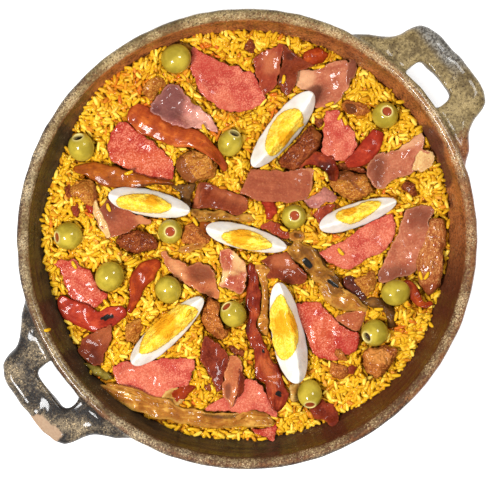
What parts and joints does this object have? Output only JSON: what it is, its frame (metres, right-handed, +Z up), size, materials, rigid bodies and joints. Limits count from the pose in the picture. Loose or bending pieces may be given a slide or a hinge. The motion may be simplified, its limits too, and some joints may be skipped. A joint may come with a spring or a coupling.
{
  "type": "paella",
  "caption": "Saffron rice platter in a round glazed earthenware dish with loop handles, topped with egg wedges, olives, cured sausage, ham, pepper strips and fried meat.",
  "frame": {"origin": "centre of the dish's flat foot, on the surface that it stands on", "axes": "+Z up out of the food; X through the two loop handles; Y across them"},
  "size_m": [0.3612, 0.296, 0.07],
  "materials": {
    "glazed_clay": "brown speckled glaze",
    "saffron_rice": "moist cooked grains",
    "egg": "smooth boiled white with a crumbly yolk",
    "olive": "smooth and wet",
    "salami": "flecked and moist",
    "ham": "fibrous and moist",
    "pepper": "oily",
    "onion": "oily and browned",
    "fried_meat": "browned crust"
  },
  "bodies": {
    "root": {"dish": "glazed_clay", "rice": "saffron_rice", "egg_wedge_1": "egg", "egg_wedge_2": "egg", "egg_wedge_3": "egg", "egg_wedge_4": "egg", "egg_wedge_5": "egg", "egg_wedge_6": "egg", "olive_1": "olive", "olive_2": "olive", "olive_3": "olive", "olive_4": "olive", "olive_5": "olive", "olive_6": "olive", "olive_7": "olive", "olive_8": "olive", "olive_9": "olive", "olive_10": "olive", "olive_11": "olive", "olive_12": "olive", "olive_13": "olive", "fried_meat_1": "fried_meat", "fried_meat_2": "fried_meat", "fried_meat_3": "fried_meat", "fried_meat_4": "fried_meat", "fried_meat_5": "fried_meat", "fried_meat_6": "fried_meat", "fried_meat_7": "fried_meat", "pepper_1": "pepper", "pepper_2": "onion", "pepper_3": "pepper", "pepper_4": "pepper", "pepper_5": "pepper", "pepper_6": "pepper", "pepper_7": "pepper", "pepper_8": "pepper", "onion_1": "onion", "onion_2": "onion", "ham_6": "ham", "salami_1": "salami", "salami_2": "salami", "salami_3": "salami", "salami_4": "salami", "salami_5": "salami", "salami_6": "salami", "salami_7": "salami", "salami_8": "salami", "ham_1": "ham", "ham_17": "ham", "ham_3": "ham", "ham_2": "ham", "ham_13": "ham", "ham_14": "ham", "ham_5": "ham", "ham_7": "ham", "ham_8": "ham", "ham_11": "ham", "ham_9": "ham", "ham_4": "ham", "ham_10": "ham"}
  },
  "joints": []
}
